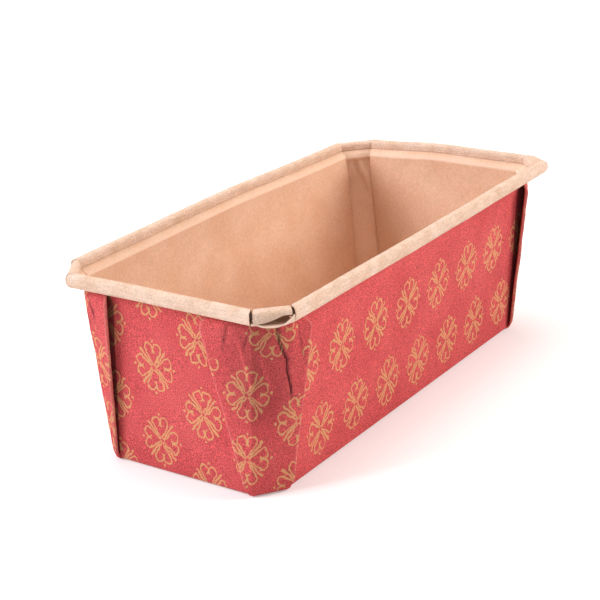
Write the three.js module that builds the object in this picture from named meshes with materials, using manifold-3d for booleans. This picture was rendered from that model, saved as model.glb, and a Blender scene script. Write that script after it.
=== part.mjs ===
// A loaf-shaped baking mold, folded and pressed from a single sheet of kraft paper.
// Millimetres, +Z up, origin at the middle of the base, +X along the mold's length.
// The four walls lean out a little. At each corner the spare paper is folded into two
// tapered flaps, which lie over the ends of the walls from outside. The top edge is
// bent outwards and rolled down into a bead, which is slit at the ends of each corner.

import * as THREE from "three";
import { mergeVertices } from "three/addons/utils/BufferGeometryUtils.js";
import Module from "manifold-3d";

// Sheet
const PAPER = 0.5;
const PAPER_COLOUR = 0xd2606a;

// Outer size of the tapered body, at the base and at the crease below the rim
const BASE_LENGTH = 154.8;
const BASE_WIDTH = 62.2;
const CREASE_LENGTH = 157.2;
const CREASE_WIDTH = 73.2;
const CREASE_HEIGHT = 55.8;
const BASE_FOLD_RADIUS = 1.2;

// Flat panel that cuts each corner: its reach along the end wall and along the long wall
const BASE_CORNER_X = 7.8;
const BASE_CORNER_Y = 5.8;
const CREASE_CORNER_X = 7.2;
const CREASE_CORNER_Y = 6.6;
const CORNER_RECESS = 0.8;
const RECESS_TAPER = 3.6;

// Flaps of spare paper, from the edge of the corner panel. One end flap, at the -X -Y
// corner, was folded wider than the other three.
const END_FLAP_BASE = 0.4;
const END_FLAP_TOP = 10;
const WIDE_END_FLAP_TOP = 16.5;
const LONG_FLAP_BASE = 0.4;
const LONG_FLAP_TOP = 5.4;
const FLAP_MOUTH_BASE = 0.6;
const FLAP_MOUTH_TOP = 2.1;
const FLAP_ABOVE_CREASE = 0.6;
const FLAP_TOP_ROUNDING = 4.5;
const FLAP_TOP_FACETS = 4;
const FLAP_FOLD_REACH = 0.33;

// Rolled rim
const RIM_HEIGHT = 60.8;
const RIM_OVERHANG = 4.8;
const RIM_CORNER_X = 9.6;
const RIM_CORNER_Y = 8.8;
const FLARE_REACH = 1.4;
const FLARE_RISE = 2.8;
const BEAD_HEIGHT = 4.5;
const BEAD_SQUARENESS = 0.7;
const BEAD_START_DEGREES = 150;
const BEAD_END_DEGREES = -160;
const BEAD_FACETS = 10;
const BEAD_TAIL = 0.5;
const RIM_SLIT = 1.1;
const RIM_SLIT_DEPTH = 3.3;

// Mouth-shaped opening where the bead has come partly unrolled at one corner
const UNROLLED_LENGTH = 10;
const UNROLLED_HEIGHT = 1.9;
const UNROLLED_ABOVE_BEAD_FOOT = 1.2;

// How far joined pieces of the sheet reach into each other
const LAP = 0.1;

const wasm = await Module();
wasm.setup();

const lerp = THREE.MathUtils.lerp;
const degToRad = THREE.MathUtils.degToRad;

// Plan of the body's outer face at a height: half sizes and the reach of the corner panel.
function planAt(height) {
  const up = height / CREASE_HEIGHT;
  return {
    halfX: lerp(BASE_LENGTH, CREASE_LENGTH, up) / 2,
    halfY: lerp(BASE_WIDTH, CREASE_WIDTH, up) / 2,
    cornerX: lerp(BASE_CORNER_X, CREASE_CORNER_X, up),
    cornerY: lerp(BASE_CORNER_Y, CREASE_CORNER_Y, up),
  };
}

// Plan of the rim at a distance outside the body's crease line.
function rimPlanAt(outset) {
  const out = outset / RIM_OVERHANG;
  return {
    halfX: CREASE_LENGTH / 2 + outset,
    halfY: CREASE_WIDTH / 2 + outset,
    cornerX: lerp(CREASE_CORNER_X, RIM_CORNER_X, out),
    cornerY: lerp(CREASE_CORNER_Y, RIM_CORNER_Y, out),
  };
}

// The same plan moved inwards by a distance, its corner panels by the same distance.
function insetPlan(plan, inset) {
  const shrink = inset * (2 - Math.SQRT2);
  return {
    halfX: plan.halfX - inset,
    halfY: plan.halfY - inset,
    cornerX: plan.cornerX - shrink,
    cornerY: plan.cornerY - shrink,
  };
}

// The corner signs, anticlockwise from above, starting at +X +Y.
const CORNERS = [
  [1, 1],
  [-1, 1],
  [-1, -1],
  [1, -1],
];

// Repeats a corner's points, given for +X +Y from the end wall round to the long wall,
// at all four corners, as one anticlockwise ring at a height.
function ringOfCorners(points, height) {
  return CORNERS.flatMap(([signX, signY]) => cornerPoints(points, height, signX, signY));
}

function cornerPoints(points, height, signX, signY) {
  const placed = points.map(([x, y]) => new THREE.Vector3(signX * x, signY * y, height));
  return signX * signY < 0 ? placed.reverse() : placed;
}

function eightSided(plan, height) {
  return ringOfCorners(
    [
      [plan.halfX, plan.halfY - plan.cornerY],
      [plan.halfX - plan.cornerX, plan.halfY],
    ],
    height,
  );
}

// Makes a manifold solid of a triangle mesh.
function solidOf(geometry) {
  const bare = geometry.clone();
  bare.deleteAttribute("normal");
  bare.deleteAttribute("uv");
  const merged = mergeVertices(bare, 1e-5);
  return new wasm.Manifold(
    new wasm.Mesh({
      numProp: 3,
      vertProperties: merged.getAttribute("position").array,
      triVerts: new Uint32Array(merged.index.array),
    }),
  );
}

// Joins rings of equal count by quads. With caps it closes the first and last ring,
// and otherwise the last ring joins the first, as on a tyre.
function loft(rings, capped) {
  const count = rings[0].length;
  const faces = [];
  const steps = capped ? rings.length - 1 : rings.length;
  for (let level = 0; level < steps; level++) {
    const low = level * count;
    const high = ((level + 1) % rings.length) * count;
    for (let i = 0; i < count; i++) {
      const next = (i + 1) % count;
      faces.push(low + i, low + next, high + next, low + i, high + next, high + i);
    }
  }
  if (capped) {
    const top = (rings.length - 1) * count;
    const flat = (ring) => ring.map((p) => new THREE.Vector2(p.x, p.y));
    for (const [a, b, c] of THREE.ShapeUtils.triangulateShape(flat(rings[0]), [])) {
      faces.push(a, c, b);
    }
    for (const [a, b, c] of THREE.ShapeUtils.triangulateShape(flat(rings.at(-1)), [])) {
      faces.push(top + a, top + b, top + c);
    }
  }
  const geometry = new THREE.BufferGeometry().setFromPoints(rings.flat());
  geometry.setIndex(faces);
  return solidOf(geometry);
}

// Points on the quarter round of a fold along the base: [inset, height] from the floor up.
function baseFold(radius) {
  return [0, 30, 60, 90].map((degrees) => {
    const angle = degToRad(degrees);
    return [radius * (1 - Math.sin(angle)), radius * (1 - Math.cos(angle))];
  });
}

// Outer form of the body, from the base to the crease.
function bodyForm() {
  const rings = baseFold(BASE_FOLD_RADIUS).map(([inset, height]) =>
    eightSided(insetPlan(planAt(height), inset), height),
  );
  rings.push(eightSided(planAt(CREASE_HEIGHT), CREASE_HEIGHT));
  return loft(rings, true);
}

// One level of the hollow. The walls end in folds that stand inwards of the corner panel
// by the recess.
function hollowRing(inset, recess, height) {
  const plan = insetPlan(planAt(height), inset);
  const edgeY = plan.halfY - plan.cornerY;
  const edgeX = plan.halfX - plan.cornerX;
  return ringOfCorners(
    [
      [plan.halfX, edgeY],
      [plan.halfX + recess, edgeY + LAP],
      [edgeX + LAP, plan.halfY + recess],
      [edgeX, plan.halfY],
    ],
    height,
  );
}

// Inside of the body, open at the top.
function hollowForm() {
  const innerRadius = BASE_FOLD_RADIUS - PAPER;
  const rings = baseFold(innerRadius).map(([inset, height]) =>
    hollowRing(PAPER + inset, LAP, PAPER + height),
  );
  rings.push(hollowRing(PAPER, CORNER_RECESS, BASE_FOLD_RADIUS + RECESS_TAPER));
  rings.push(hollowRing(PAPER, CORNER_RECESS, CREASE_HEIGHT - RECESS_TAPER));
  rings.push(hollowRing(PAPER, LAP, CREASE_HEIGHT));
  rings.push(hollowRing(PAPER, LAP, RIM_HEIGHT));
  return loft(rings, true);
}

// How far a flap reaches over its wall at a height, less what its rounded top cuts off.
function flapReach(base, top, height, cut) {
  return Math.max(lerp(base, top, height / CREASE_HEIGHT) - cut, LAP);
}

// One level of the folded paper outside a corner: two layers over the corner panel, with a
// flap on each side that stands off its wall and ends in a rounded fold.
function flapRing(height, inset, cut, signX, signY) {
  const up = height / CREASE_HEIGHT;
  const plan = insetPlan(planAt(height), inset);
  const layers = 2 * PAPER;
  const mouth = lerp(FLAP_MOUTH_BASE, FLAP_MOUTH_TOP, up);
  const edgeY = plan.halfY - plan.cornerY;
  const edgeX = plan.halfX - plan.cornerX;
  const endTop = signX < 0 && signY < 0 ? WIDE_END_FLAP_TOP : END_FLAP_TOP;
  const tipY = edgeY - flapReach(END_FLAP_BASE, endTop, height, cut);
  const tipX = edgeX - flapReach(LONG_FLAP_BASE, LONG_FLAP_TOP, height, cut);
  const turn = layers * (Math.SQRT2 - 1);
  return cornerPoints(
    [
      [plan.halfX + mouth, tipY],
      [plan.halfX + mouth + layers / 2, tipY - FLAP_FOLD_REACH],
      [plan.halfX + mouth + layers, tipY],
      [plan.halfX + layers, edgeY + turn],
      [edgeX + turn, plan.halfY + layers],
      [tipX, plan.halfY + mouth + layers],
      [tipX - FLAP_FOLD_REACH, plan.halfY + mouth + layers / 2],
      [tipX, plan.halfY + mouth],
      [edgeX, plan.halfY - PAPER / 2],
      [plan.halfX - PAPER / 2, edgeY],
    ],
    height,
    signX,
    signY,
  );
}

// The folded paper outside one corner. It follows the fold of the base, and its free
// corners are rounded off where it runs up into the bead.
function cornerFlaps(signX, signY) {
  const top = CREASE_HEIGHT + FLAP_ABOVE_CREASE;
  const rings = baseFold(BASE_FOLD_RADIUS)
    .slice(1)
    .map(([inset, height]) => flapRing(height, inset, 0, signX, signY));
  for (let i = 0; i <= FLAP_TOP_FACETS; i++) {
    const angle = (i / FLAP_TOP_FACETS) * (Math.PI / 2);
    const height = top - FLAP_TOP_ROUNDING * (1 - Math.sin(angle));
    const cut = FLAP_TOP_ROUNDING * (1 - Math.cos(angle));
    rings.push(flapRing(height, 0, cut, signX, signY));
  }
  return loft(rings, true);
}

// Turns a circle's sine or cosine into that of a rounder-cornered, flatter-sided oval.
function flattened(value) {
  return Math.sign(value) * Math.abs(value) ** BEAD_SQUARENESS;
}

// Middle of the sheet along the rim, as [distance out, height]: up from the crease, out
// over the flare, then round the flattened bead to the sheet's loose edge inside it.
function rimPath() {
  const half = PAPER / 2;
  const beadBottom = RIM_HEIGHT - BEAD_HEIGHT;
  const halfHeight = BEAD_HEIGHT / 2 - half;
  const halfWidth = (RIM_OVERHANG - FLARE_REACH) / 2 - half + LAP;
  const middleOut = RIM_OVERHANG - half - halfWidth;
  const middleUp = beadBottom + half + halfHeight;
  const path = [
    [-half, CREASE_HEIGHT - 2 * PAPER],
    [-half, CREASE_HEIGHT],
    [FLARE_REACH - half, CREASE_HEIGHT + FLARE_RISE],
  ];
  for (let i = 0; i <= BEAD_FACETS; i++) {
    const angle = degToRad(lerp(BEAD_START_DEGREES, BEAD_END_DEGREES, i / BEAD_FACETS));
    path.push([
      middleOut + halfWidth * flattened(Math.cos(angle)),
      middleUp + halfHeight * flattened(Math.sin(angle)),
    ]);
  }
  const [tailOut, tailUp] = path.at(-1);
  path.push([tailOut + BEAD_TAIL, tailUp + BEAD_TAIL]);
  return path.map(([x, y]) => new THREE.Vector2(x, y));
}

// Outline of the sheet of a given thickness that follows a path.
function sheetOutline(path, thickness) {
  const left = [];
  const right = [];
  path.forEach((point, i) => {
    const before = path[Math.max(i - 1, 0)];
    const after = path[Math.min(i + 1, path.length - 1)];
    const along = after.clone().sub(before).normalize();
    const across = new THREE.Vector2(-along.y, along.x).multiplyScalar(thickness / 2);
    left.push(point.clone().add(across));
    right.push(point.clone().sub(across));
  });
  return [...left, ...right.reverse()];
}

// The rolled rim: its section carried round the eight corners of the plan.
function rimForm() {
  const outline = sheetOutline(rimPath(), PAPER);
  const rings = outline.map((point) => eightSided(rimPlanAt(point.x), point.y));
  const stations = rings[0].map((_, i) => rings.map((ring) => ring[i]));
  return loft(stations, false);
}

// A cutter for one slit, on the line where the rim turns from a wall to a corner. It
// reaches a set depth into the bead from outside, and as far out again.
function slitCutter(inner, outer) {
  const box = new THREE.BoxGeometry(2 * RIM_SLIT_DEPTH, RIM_SLIT, 2 * BEAD_HEIGHT);
  box.rotateZ(Math.atan2(outer.y - inner.y, outer.x - inner.x));
  box.translate(outer.x, outer.y, RIM_HEIGHT - BEAD_HEIGHT / 2);
  return solidOf(box);
}

function slitCutters() {
  const inner = eightSided(rimPlanAt(0), RIM_HEIGHT);
  const outer = eightSided(rimPlanAt(RIM_OVERHANG), RIM_HEIGHT);
  return inner.map((point, i) => slitCutter(point, outer[i]));
}

// A cutter for the mouth of the unrolled bead, on the front of the -X -Y corner.
function unrolledCutter() {
  const plan = rimPlanAt(RIM_OVERHANG);
  const from = new THREE.Vector2(-plan.halfX, plan.cornerY - plan.halfY);
  const to = new THREE.Vector2(plan.cornerX - plan.halfX, -plan.halfY);
  const middle = from.clone().lerp(to, 0.5);
  const lens = new THREE.SphereGeometry(0.5, 16, 8);
  lens.scale(UNROLLED_LENGTH, BEAD_HEIGHT / 2, UNROLLED_HEIGHT);
  lens.rotateZ(Math.atan2(to.y - from.y, to.x - from.x));
  lens.translate(middle.x, middle.y, RIM_HEIGHT - BEAD_HEIGHT + UNROLLED_ABOVE_BEAD_FOOT);
  return solidOf(lens);
}

function moldSolid() {
  let mold = bodyForm();
  for (const [signX, signY] of CORNERS) {
    mold = mold.add(cornerFlaps(signX, signY));
  }
  mold = mold.subtract(hollowForm());
  let rim = rimForm();
  for (const cutter of [...slitCutters(), unrolledCutter()]) {
    rim = rim.subtract(cutter);
  }
  return mold.add(rim);
}

function meshOf(solid, name, material) {
  const { vertProperties, triVerts } = solid.getMesh();
  const geometry = new THREE.BufferGeometry();
  geometry.setAttribute("position", new THREE.BufferAttribute(vertProperties, 3));
  geometry.setIndex(new THREE.BufferAttribute(triVerts, 1));
  geometry.computeVertexNormals();
  const mesh = new THREE.Mesh(geometry, material);
  mesh.name = name;
  return mesh;
}

const printedPaper = new THREE.MeshStandardMaterial({
  color: PAPER_COLOUR,
  roughness: 0.85,
  metalness: 0,
});

const bakingMold = new THREE.Group();
bakingMold.add(meshOf(moldSolid(), "paper_mold", printedPaper));

export default bakingMold;
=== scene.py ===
"""A paper baking mold on a pale studio floor.

The mold is one sheet of kraft paper, printed on its outer side. At each corner the
spare paper is folded into flaps outside the walls, and the top edge is rolled into a bead.
"""
import math

import bmesh
import bpy
from mathutils import Matrix, Vector, noise


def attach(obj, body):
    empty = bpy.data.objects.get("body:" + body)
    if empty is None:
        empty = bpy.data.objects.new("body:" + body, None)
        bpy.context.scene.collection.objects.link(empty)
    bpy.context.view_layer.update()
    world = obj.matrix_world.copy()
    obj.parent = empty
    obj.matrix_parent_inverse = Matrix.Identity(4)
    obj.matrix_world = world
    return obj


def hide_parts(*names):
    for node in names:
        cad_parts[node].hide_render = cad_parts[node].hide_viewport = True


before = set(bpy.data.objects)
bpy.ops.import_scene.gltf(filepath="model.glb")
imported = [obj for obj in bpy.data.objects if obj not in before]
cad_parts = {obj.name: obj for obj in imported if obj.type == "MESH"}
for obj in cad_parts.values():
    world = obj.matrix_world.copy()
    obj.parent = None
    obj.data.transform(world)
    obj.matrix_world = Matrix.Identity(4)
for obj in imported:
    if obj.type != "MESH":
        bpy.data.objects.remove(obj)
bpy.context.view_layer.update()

MM = 0.001

# Sheet, in millimetres like all the sizes below: its thickness, the radius of its folds in
# the flaps and round the base, and the angle from which an edge of the mesh looks sharp
SHEET = 0.45
FOLD_RADIUS = 0.3
BASE_FOLD_RADIUS = 1.2
SHARP_FROM = math.radians(50)

# Outer size of the body at the base and at the crease below the rim, and the reach of its
# flat corners there along x and y
BASE_LENGTH = 154.8
BASE_WIDTH = 62.2
CREASE_LENGTH = 157.2
CREASE_WIDTH = 73.2
CREASE_HEIGHT = 55.8
BASE_CORNER = (7.8, 5.8)
CREASE_CORNER = (7.2, 6.6)

# Flaps of spare paper outside the walls: their width at the base and at the crease, their
# least width, and the rounding of their top corners
END_FLAP = (0.8, 10.0)
WIDE_END_FLAP = (0.8, 16.5)
LONG_FLAP = (0.8, 5.4)
LEAST_FLAP = 0.5
FLAP_ROUNDING = 4.5

# How far a flap gapes at its tip, at the base and at the crease, and the power of the way
# to the tip that it opens by
MOUTH = (0.6, 2.8)
MOUTH_CURVE = 1.15

# How far the flaps rise above the crease, and the height over which they do
FLAP_ABOVE_CREASE = 0.6
FLAP_LIFT_HEIGHT = 6.0

# Share of their distance that the layers keep at the base and at the crease, and the
# heights over which they close up
LEAST_SPREAD = 0.3
BASE_TAPER = 4.0
PANEL_TAPER = 3.6

# The flat base: how far it laps the fold of the walls, and its distance from the floor
BASE_LAP = 0.2
BASE_GAP = 0.02

# Rolled rim: its top, how far it stands out from the crease, and the reach of its corners
# along x and y
RIM_HEIGHT = 60.8
RIM_OVERHANG = 4.8
RIM_CORNERS = {
    (1, 1): (11.0, 10.4),
    (-1, 1): (12.5, 7.8),
    (-1, -1): (8.2, 8.9),
    (1, -1): (4.2, 6.0),
}

# The rim's bead: its height, inner side and squareness (1 is round), the degrees at which
# the sheet enters and leaves its round, its straight tail, and its margin to the outer size
BEAD_HEIGHT = 4.5
BEAD_INNER = 1.4
BEAD_SQUARENESS = 0.7
BEAD_START = 185
BEAD_END = -160
BEAD_TAIL = 0.5
BEAD_MARGIN = 0.05

# Middle of the sheet from the rim's foot, which lines the wall, up its flare to the bead:
# (out from the wall's outer side, up from the crease)
FLARE_REACH = 2.3
FLARE_RISE = 2.2
GROOVE_RISE = 0.35
RIM_LAP = 0.04
RIM_FOOT = (
    (-SHEET / 2 - RIM_LAP, -1.0),
    (-SHEET / 2 - RIM_LAP, -0.1),
    (-SHEET / 2 + 0.15, 0.3),
    (FLARE_REACH * 0.7, FLARE_RISE * 0.85),
    (FLARE_REACH, FLARE_RISE),
    (FLARE_REACH, FLARE_RISE + GROOVE_RISE),
)

# The part of the rim's section that lines the mouth: out to and up to here
LINING_OUT = FLARE_REACH + 0.1
LINING_UP = CREASE_HEIGHT + FLARE_RISE + GROOVE_RISE - 0.05

# The slits between the stretches of rim, anticlockwise from the end side of the +X +Y
# corner: how far each stretch stops short of the corner line before and after it, and
# half the width of the cut in the flare below the bead
SLITS = (
    (-0.06, -0.06, -0.06),
    (-0.06, -0.06, -0.06),
    (-1.4, 2.4, 0.25),
    (0.35, 0.35, 0.0),
    (0.6, 0.6, 0.0),
    (0.6, 0.6, 0.0),
    (0.0, 0.0, 0.0),
    (0.12, 0.12, 0.0),
)

# Waves of the rim: in height, which is also its mean drop, with a finer ripple, and
# outwards; each by its depth and its length
RIM_DROP, RIM_DROP_LENGTH = 0.12, 21
RIM_RIPPLE, RIM_RIPPLE_LENGTH = 0.04, 4
RIM_DRIFT, RIM_DRIFT_LENGTH = 0.1, 17
RIM_DRIFT_SHIFT = Vector((5, 5, 5))

# Corner signs, anticlockwise from above, and the corner whose bead has come unrolled
CORNERS = [(1, 1), (-1, 1), (-1, -1), (1, -1)]
UNROLLED_CORNER = (-1, -1)
UNROLLED_STRETCH = 4

# There the bead parts at these degrees, from one end to the other, over a share of the
# stretch that starts and runs so
PARTING_DEGREES = (-40, 8)
PARTING_START = 0.05
PARTING_RUN = 0.8

# Its lower lip is open round this share of the stretch, and stands out and hangs down there
OPENING_MIDDLE = 0.52
OPENING_REACH = 0.4
LIP_BULGE = 0.5
LIP_DROP = 0.35
LIP_CURVE = 0.7

# How far the top of the mold sags below its even height, round the rim from the middle
# of the +X end, anticlockwise, at each corner and each middle of a side
SAG = (0.0, 1.7, 0.3, 0.9, 0.8, 0.9, 0.8, 0.2)

# Creases near the corners: the points of each (along the sheet from the panel's middle,
# minus towards the end wall, and height), its depth, half its width, and its tone: painted
# shade where it is negative, a painted highlight where it is positive
LONG_CREASE = [(1.4, 55), (1.8, 50), (2.8, 47), (4.2, 43.6), (4.4, 39.5), (5.3, 35.5), (6, 31)]
CREASES = {
    (-1, -1): [
        (LONG_CREASE, 0.6, 0.35, -1.0),
        ([(-13.2, 54), (-14, 50), (-14.4, 46)], 0.1, 0.4, -0.7),
        ([(-3.4, 46), (-1.8, 40), (0.4, 33)], -0.3, 0.35, 0.4),
        ([(-9.5, 50), (-7.6, 43), (-5.2, 35)], -0.3, 0.35, 0.45),
        ([(-6.5, 53), (-8.2, 47)], 0.1, 0.4, -0.35),
        ([(7.4, 54), (8.2, 48), (9.8, 41)], 0.1, 0.35, -0.4),
        ([(-2.2, 22), (0.8, 12), (1.6, 4)], -0.2, 0.5, 0.3),
        # Painted shade over the whole -X -Y corner panel
        ([(-5.5, 62), (-4.5, 44), (-3.0, 32)], 0.0, 10.0, -0.42),
    ],
    (-1, 1): [
        ([(-7.2, 53), (-8.6, 49.5), (-9.2, 46)], 0.1, 0.45, -1.0),
        ([(-5.6, 48), (-6.8, 44)], 0.1, 0.45, -0.7),
    ],
    (1, 1): [
        ([(1.6, 55), (0.2, 50), (-1.4, 46), (-2.4, 42)], -0.5, 0.8, -0.3),
        ([(-0.6, 54), (-2.2, 50), (-4.2, 46.5)], 0.4, 0.9, 0.6),
        # Painted light over the whole +X +Y corner panel
        ([(0, 66), (0, 10)], 0.0, 6.0, 0.42),
    ],
    (1, -1): [([(2.5, 53), (4.5, 46), (5.5, 38)], 0.1, 0.4, -0.5)],
}

# Length over which a crease fades to its ends, the share it has there, and the depth it
# keeps in a flap
CREASE_FADE = 3
CREASE_END_SHARE = 0.4
FLAP_SLACK = 0.1

# Bulges and dimples of the pressed sheet, and ridges of its outer corner layers: length,
# depth, shift of the noise, and how fast they fade in above the base and out at the crease
BULGE_LENGTH, BULGE_DEPTH = 34, 0.35
DIMPLE_LENGTH, DIMPLE_DEPTH, DIMPLE_SHIFT = 9, 0.09, Vector((7, 3, 1))
RIDGE_LENGTH, RIDGE_DEPTH, RIDGE_SHIFT = 5.5, 0.4, Vector((1, 9, 4))
BULGE_FADE = (10, 8)
RIDGE_FADE = (20, 3)

# Marks, from -1 dark to 1 pale, and their reach: a painted highlight with rubbed wear at the
# flaps' folded tips, painted shade in their mouths, wear at the base fold, a painted
# highlight with rubbed wear along the crease below the rim, and painted shade in the slits
FOLD_HIGHLIGHT_AND_WEAR = 0.6
FOLD_HIGHLIGHT_AND_WEAR_REACH = 1.3
FOLD_HIGHLIGHT_AND_WEAR_HEIGHT = 6
BASE_WEAR = 0.9
MOUTH_PAINTED_SHADE = -0.75
RIM_CREASE_HIGHLIGHT_AND_WEAR = 1.0
RIM_CREASE_REACH = 0.9
SLIT_PAINTED_SHADE = -0.9

# The printed flower: half a petal in line, in millimetres from the flower's centre, and
# how its height is squashed
FLOWER_SQUASH = (1.0, 0.82, 0.0)
LOBE_CENTRE = (4.7, 1.5)
LOBE_RADIUS = 1.4
LOBE_BACK = 0.75
FLANK_FROM = (0.7, 0.3)
FLANK_TO = (4.1, 2.6)
STEM_FROM = (1.4, 1.35)
STEM_TO = (4.5, 4.4)
TIP_CENTRE = (6.9, 0.0)
TIP_RADIUS = 0.15

# The ink: half the width of a line, its raggedness, softness and wobble, and how it fades
# with the paper's grain: (from, to, strength at the first, at the second)
INK_HALF_WIDTH = 0.22
INK_RAGGED = 0.24
INK_SOFTNESS = 0.1
WOBBLE = 1.7
WOBBLES_PER_MM = 0.45
INK_GRAINS_PER_MM = 2.1
INK_FADE = (0.35, 0.6, 1.0, 0.82)
INK_COLOUR = "d39d6b"

# Pitch and start of the flowers on the walls and round the corners
END_PITCH = (33.0, 23.5)
END_START = (7.0, 10.5)
LONG_PITCH = (18.9, 46.0)
LONG_START = (4.0, 13.0)
CORNER_PITCH = (30.0, 20.5)
CORNER_START = (-7.0, 33.0)

# The height from which the long walls stay bare, and a bare place of their print
LONG_BARE_FROM = 46.0
LONG_BARE_SPOT = (8.7, 24.5)

# The corner strip's top flower, where it stands, and where the rest of the strip is bare
TOP_FLOWER = (0.0, 52.0)
TOP_FLOWER_FROM = 42.5
FLOWER_REACH = 8.5
BARE_FROM = 31.0
BARE_SPOT = (8.0, 33.0)

# The sheet's pale colours, for rubbed wear and painted highlights, and how it turns pale, and
# dark with painted shade, with its mark: (from, to, share at the first, share at the second)
PALE_RED = "e79a8c"
PALE_KRAFT = "f4d6c0"
PALE_RANGE = (0.15, 1.0, 0.0, 0.9)
PAINTED_SHADE_RANGE = (-0.9, -0.1, 0.2, 1.0)

# Papers: darker and lighter colour, size of their clouds and of their grain, the grain's
# depth and relief, and the pale colour for their rubbed wear and painted highlights
RED_PAPER = ("c3484a", "cf5656", 14, 0.3, 0.75, 0.1, PALE_RED)
BARE_PAPER = ("dcb193", "e4c0a6", 12, 0.8, 0.1, 0.04, PALE_KRAFT)
PRESSED_PAPER = ("d4b197", "e2c5b2", 5, 0.4, 0.24, 0.1, PALE_KRAFT)
CUT_PAPER = ("c49474", "cfa284", 5, 0.5, 0.1, 0.02, PALE_KRAFT)

# Matt paper, and the part of a noise that most of its values fall in
PAPER_ROUGHNESS = 0.82
PAPER_SHINE = 0.3
NOISE_RANGE = (0.3, 0.7)

# Wrinkles of the rim for each millimetre along it and across it, and their shade
WRINKLES_PER_MM = (0.25, 1.3, 0.0)
WRINKLE_RANGE = (0.3, 0.62, 0.91, 1.04)

# Camera, in metres
EYE = (-0.38697, -0.262254, 0.2085)
LOOK = (0.76403666, 0.53692814, -0.35770958)
ROLL_DEGREES = -2.8644
LENS_MM = 92.526
SENSOR_MM = 36.0
NEAREST = 0.01

# Half the floor's side and its drop below the mold, in metres, and how much whiter it
# looks to the camera than its own shade
FLOOR_REACH = 6.0
FLOOR_DROP = 0.0002
FLOOR_LIFT = 0.25
FLOOR_COLOUR = "ededed"
FLOOR_ROUGHNESS = 0.9

# Soft boxes round the mold: name, place and size in metres, power and colour; and the
# strength of the white surroundings as a light
LIGHTS = (
    ("left", (-1.15, 0.9, 0.95), 0.8, 26, "f6f8ff"),
    ("right", (0.9, -1.28, 0.82), 0.8, 23, "fff8f2"),
    ("top", (0.1, 0.2, 1.6), 0.9, 12.5, "fffcf8"),
)
LIGHT_AIM = Vector((0, 0, 0.03))
SURROUND_STRENGTH = 0.31

# Steps of the body's grid: across half a wall, a flap, a fold's turn and a panel, how much
# finer a flap's outer layer is, and the shares of its width where the wall has points
END_WALL_STEPS = 10
LONG_WALL_STEPS = 22
END_FLAP_STEPS = 6
LONG_FLAP_STEPS = 5
FOLD_TURNS = 4
HALF_TURN = FOLD_TURNS // 2
PANEL_STEPS = 26
OUTER_FINENESS = 4
UNDER_FLAP = (-0.05, 0.0, 0.07, 0.2, 0.6)

# Columns past a fold at which the outer layer starts, and over which a layer sets in
OUTER_LAYER = FOLD_TURNS + 3
LAYER_BLEND = 6

# Levels of the body's grid: round the base fold, up the walls, and below the crease
BASE_FOLD_DEGREES = (0, 20, 40, 60, 80)
BASE_FOLD_LIFT = 0.01
ROW_STEP = 0.9
TOP_ROWS = 8
TOP_ROWS_BELOW = 1.5

# Steps of the rim's grid: round the bead, along the rim, and the foot's first one that
# the painted shade of a slit darkens
BEAD_STEPS = 20
LEAST_BEAD_STEPS = 4
RIM_STATION = 1.5
LEAST_STATIONS = 8
SLIT_FROM = 3

# Share of lining points from which a face of the rim is lining
LINED = 0.99

# Kinds of nodes
MATHS = "ShaderNodeMath"
VECTORS = "ShaderNodeVectorMath"
NOISE = "ShaderNodeTexNoise"
SPAN = "ShaderNodeMapRange"
MIX = "ShaderNodeMix"

# Places of the materials on the mold
END_PRINT, LONG_PRINT, CORNER_PRINT, INSIDE, RIM, EDGE = range(6)


def lerp(a, b, t):
    return a + (b - a) * t


def clamp(value):
    return min(1.0, max(0.0, value))


def smooth(value):
    t = clamp(value)
    return t * t * (3 - 2 * t)


def stand(name, data):
    """Adds an object to the scene."""
    made = bpy.data.objects.new(name, data)
    bpy.context.scene.collection.objects.link(made)
    return made


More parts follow.
